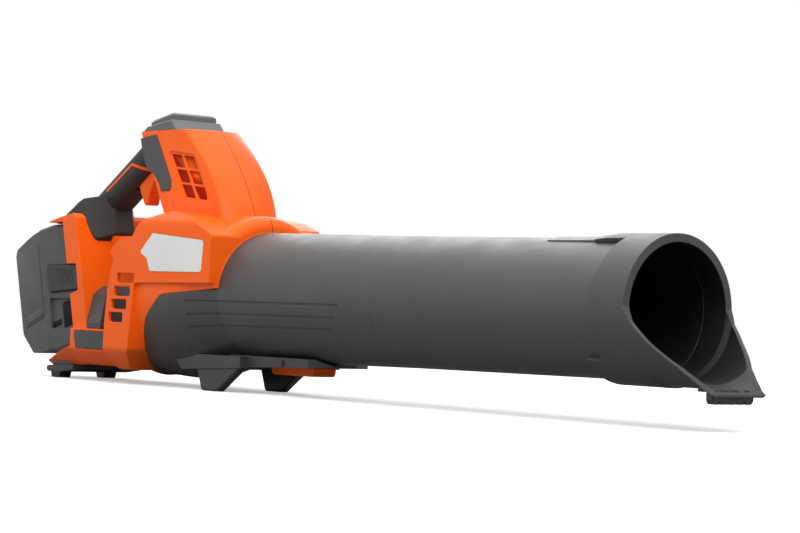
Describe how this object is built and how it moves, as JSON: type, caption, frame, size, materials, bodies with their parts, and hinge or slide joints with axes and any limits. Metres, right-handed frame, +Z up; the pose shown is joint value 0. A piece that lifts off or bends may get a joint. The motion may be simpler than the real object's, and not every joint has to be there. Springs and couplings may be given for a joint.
{
  "type": "leaf blower",
  "caption": "Hand-held cordless leaf blower with an inline fan housing, a top handle and trigger, a pull-off tube with a scoop nozzle, feet and a slide-in battery pack.",
  "frame": {"origin": "under the middle of the whole blower, on the floor that its feet stand on", "axes": "+X along the air path towards the nozzle, +Z up"},
  "size_m": [0.8822, 0.1236, 0.2351],
  "materials": {
    "orange_shell": "fine moulded texture",
    "dark_shell": "fine moulded texture",
    "tube_plastic": "satin moulded",
    "soft_grip": "soft overmould",
    "cap_plastic": "satin moulded",
    "button_plastic": "satin moulded",
    "label_foil": "satin foil, bare",
    "battery_shell": "fine moulded texture",
    "latch_plastic": "satin moulded",
    "fan_plastic": "glass filled",
    "seal_rubber": "plain",
    "steel": "machined",
    "black_steel": "blackened",
    "winding_core": "wound core",
    "sink_metal": "extruded, black anodised",
    "circuit_board": "coated",
    "lead_sleeve": "plain",
    "cell_can": "sleeved"
  },
  "bodies": {
    "housing": {"housing_right": "orange_shell", "housing_left": "orange_shell", "battery_bay": "orange_shell", "lower_shroud": "dark_shell", "foot_bracket": "dark_shell", "foot_screws": "black_steel", "rear_foot": "dark_shell", "top_cap": "cap_plastic", "keypad_board": "circuit_board", "tower_pad_right": "dark_shell", "tower_pad_left": "dark_shell", "label_plate_right": "label_foil", "label_plate_left": "label_foil", "side_pad_right": "dark_shell", "side_pad_left": "dark_shell", "grip_right": "soft_grip", "grip_left": "soft_grip", "grip_inlay_right": "orange_shell", "grip_inlay_left": "orange_shell", "housing_screws": "steel", "intake_deflector": "dark_shell", "fan_duct": "fan_plastic", "tube_seal": "seal_rubber", "stator_vanes": "fan_plastic", "tail_cone": "fan_plastic", "motor_stator": "winding_core", "bearing_rear": "steel", "bearing_front": "steel", "motor_leads": "lead_sleeve", "controller": "button_plastic", "heatsink": "sink_metal", "trigger_pin": "steel", "trigger_spring": "steel", "trigger_switch": "button_plastic", "power_leads": "lead_sleeve", "terminal_block": "button_plastic"},
    "rotor": {"fan_impeller": "fan_plastic", "fan_nut": "steel", "motor_shaft": "steel", "rotor_core": "steel"},
    "trigger": {"trigger": "orange_shell"},
    "tube": {"rear_tube": "tube_plastic", "front_tube": "tube_plastic"},
    "nozzle": {"nozzle": "dark_shell", "nozzle_skid": "dark_shell"},
    "release_button": {"release_button": "orange_shell"},
    "battery": {"battery_case": "battery_shell", "battery_cover": "battery_shell", "battery_cells": "cell_can", "cell_holder": "button_plastic", "battery_board": "circuit_board", "battery_contacts": "steel", "charge_indicator": "cap_plastic"},
    "battery_latch_right": {"battery_latch_right": "latch_plastic"},
    "battery_latch_left": {"battery_latch_left": "latch_plastic"},
    "charge_button": {"charge_button": "button_plastic"},
    "power_button": {"power_button": "button_plastic"},
    "boost_button": {"boost_button": "button_plastic"}
  },
  "joints": [
    {"name": "fan_spin", "type": "hinge", "parent": "housing", "child": "rotor", "pos_m": [-0.14887, 0, 0.079], "axis": [1, 0, 0], "continuous": true},
    {"name": "trigger_pull", "type": "hinge", "parent": "housing", "child": "trigger", "pos_m": [-0.25487, 0, 0.199], "axis": [0, 1, 0], "range_deg": [0, 14], "stiffness_Nm_per_rad": 0.4, "springref_deg": -20.05},
    {"name": "tube_pull", "type": "slide", "parent": "housing", "child": "tube", "axis": [1, 0, 0], "range_m": [0, 0.06]},
    {"name": "nozzle_pull", "type": "slide", "parent": "tube", "child": "nozzle", "axis": [1, 0, 0], "range_m": [0, 0.05]},
    {"name": "tube_release", "type": "slide", "parent": "housing", "child": "release_button", "axis": [0, 0, 1], "range_m": [0, 0.002], "stiffness_N_per_m": 800, "springref_m": -0.002},
    {"name": "battery_slide", "type": "slide", "parent": "housing", "child": "battery", "axis": [-0.9659, 0, -0.2588], "range_m": [0, 0.07]},
    {"name": "latch_right_press", "type": "slide", "parent": "battery", "child": "battery_latch_right", "axis": [0, 1, 0], "range_m": [0, 0.003], "stiffness_N_per_m": 900, "springref_m": -0.002},
    {"name": "latch_left_press", "type": "slide", "parent": "battery", "child": "battery_latch_left", "axis": [0, -1, 0], "range_m": [0, 0.003], "stiffness_N_per_m": 900, "springref_m": -0.002},
    {"name": "charge_press", "type": "slide", "parent": "battery", "child": "charge_button", "axis": [0.9659, 0, 0.2588], "range_m": [0, 0.001], "stiffness_N_per_m": 800, "springref_m": -0.001},
    {"name": "power_press", "type": "slide", "parent": "housing", "child": "power_button", "axis": [0.1874, 0, -0.9823], "range_m": [0, 0.001], "stiffness_N_per_m": 800, "springref_m": -0.001},
    {"name": "boost_press", "type": "slide", "parent": "housing", "child": "boost_button", "axis": [0.1874, 0, -0.9823], "range_m": [0, 0.001], "stiffness_N_per_m": 800, "springref_m": -0.001}
  ]
}
